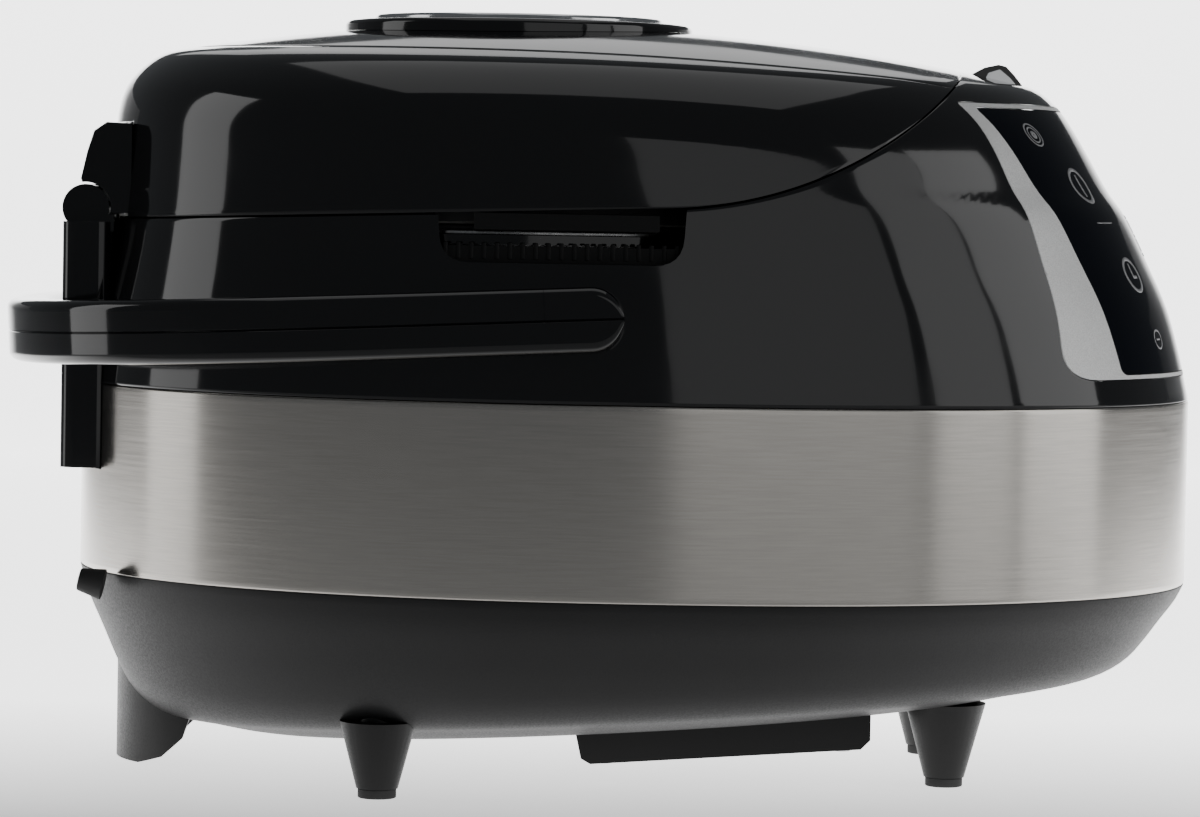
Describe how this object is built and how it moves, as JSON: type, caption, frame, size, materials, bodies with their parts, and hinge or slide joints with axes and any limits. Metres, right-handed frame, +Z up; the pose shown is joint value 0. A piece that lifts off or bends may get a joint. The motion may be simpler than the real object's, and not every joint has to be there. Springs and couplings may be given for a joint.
{
  "type": "multicooker",
  "caption": "Countertop multicooker: hinged lid with steam vent and push release, steel band, touch panel, removable bowl, folding bail handle.",
  "frame": {"origin": "centre of the bounding box's underside, on the surface that the foot pads stand on", "axes": "+Z up, the control panel faces -Y, the hinge and the resting handle are at +Y, X is left to right across the symmetric body"},
  "size_m": [0.294, 0.386, 0.2455],
  "materials": {
    "housing_matte": "fine matte moulded plastic",
    "shell_gloss": "polished black plastic",
    "trim_black": "satin black plastic",
    "foot_rubber": "matte rubber",
    "band_steel": "horizontally brushed stainless steel",
    "panel_silver": "satin silver lacquer",
    "panel_glass": "black touch panel",
    "screw_steel": "zinc plated",
    "pin_steel": "ground steel",
    "spring_steel": "spring wire",
    "sheet_steel": "pressed sheet steel",
    "cast_aluminium": "cast and turned",
    "sheet_aluminium": "satin anodised",
    "bowl_coating": "dark non-stick coating",
    "heater_metal": "oxidised heater sheath",
    "mica_heater": "mica and glass tape",
    "board_green": "solder mask",
    "board_tan": "phenolic board",
    "part_blue": "moulded component cases",
    "display_dark": "display window",
    "silicone": "translucent white silicone",
    "liner_grey": "heat resistant plastic",
    "chrome_trim": "bright chrome plating",
    "brass_pins": "tinned brass",
    "fuse_white": "ceramic"
  },
  "bodies": {
    "root": {"lower_housing": "housing_matte", "bottom_cover": "trim_black", "base_screws": "screw_steel", "front_feet": "trim_black", "rear_feet": "trim_black", "foot_pads": "foot_rubber", "rear_stand": "trim_black", "rear_bumpers": "foot_rubber", "steel_band": "band_steel", "upper_shell": "shell_gloss", "grip_liners": "trim_black", "panel_bezel": "panel_silver", "control_glass": "panel_glass", "display_module": "display_dark", "control_board": "board_green", "power_board": "board_tan", "power_parts": "part_blue", "heat_shield": "sheet_steel", "side_heater": "mica_heater", "rim_ring": "sheet_steel", "heating_plate": "cast_aluminium", "heater_tube": "heater_metal", "heater_posts": "sheet_steel", "thermal_fuse": "fuse_white", "bowl": "bowl_coating", "bowl_grips": "trim_black", "hinge_housing": "shell_gloss", "hinge_pin": "pin_steel", "hinge_springs": "spring_steel", "condensate_cup": "shell_gloss", "power_inlet": "trim_black", "inlet_pins": "brass_pins", "handle_pivots": "trim_black", "latch_bracket": "sheet_steel", "latch_pin": "pin_steel", "button_spring": "spring_steel", "sensor_spring": "spring_steel"},
    "lid": {"lid_shell": "shell_gloss", "lid_top_panel": "shell_gloss", "hinge_cover": "shell_gloss", "lid_liner": "liner_grey", "inner_lid_plate": "sheet_aluminium", "lid_gasket": "silicone", "valve_cup": "liner_grey", "lid_hinge_arms": "sheet_steel", "lid_screws": "screw_steel", "lid_strike": "pin_steel", "lid_sensor": "sheet_aluminium"},
    "vent": {"vent_cover": "shell_gloss", "vent_ring": "chrome_trim", "vent_valve": "sheet_aluminium"},
    "handle": {"carry_handle": "shell_gloss", "handle_cover": "shell_gloss"},
    "button": {"release_button": "shell_gloss", "button_trim": "chrome_trim"},
    "latch": {"latch_hook": "sheet_steel"},
    "sensor": {"bowl_sensor": "sheet_aluminium"}
  },
  "joints": [
    {"name": "lid_hinge", "type": "hinge", "parent": "root", "child": "lid", "pos_m": [0, 0.165, 0.181], "axis": [-1, 0, 0], "range_deg": [0, 88]},
    {"name": "vent_lift", "type": "slide", "parent": "lid", "child": "vent", "axis": [0, 0, 1], "range_m": [0, 0.045]},
    {"name": "handle_swing", "type": "hinge", "parent": "root", "child": "handle", "pos_m": [0, 0.003, 0.151], "axis": [1, 0, 0], "range_deg": [0, 90]},
    {"name": "button_press", "type": "slide", "parent": "root", "child": "button", "axis": [0, 0, -1], "range_m": [0, 0.003], "stiffness_N_per_m": 400, "springref_m": -0.004, "deforming": ["button_spring"]},
    {"name": "latch_swing", "type": "hinge", "parent": "root", "child": "latch", "pos_m": [0, -0.122, 0.198], "axis": [1, 0, 0], "range_deg": [0, 8]},
    {"name": "sensor_plunge", "type": "slide", "parent": "root", "child": "sensor", "axis": [0, 0, -1], "range_m": [0, 0.002], "stiffness_N_per_m": 300, "springref_m": -0.006, "deforming": ["sensor_spring"]}
  ],
  "couplings": [
    {"joint": "latch_swing", "follows": "button_press", "rad_per_m": 46}
  ]
}
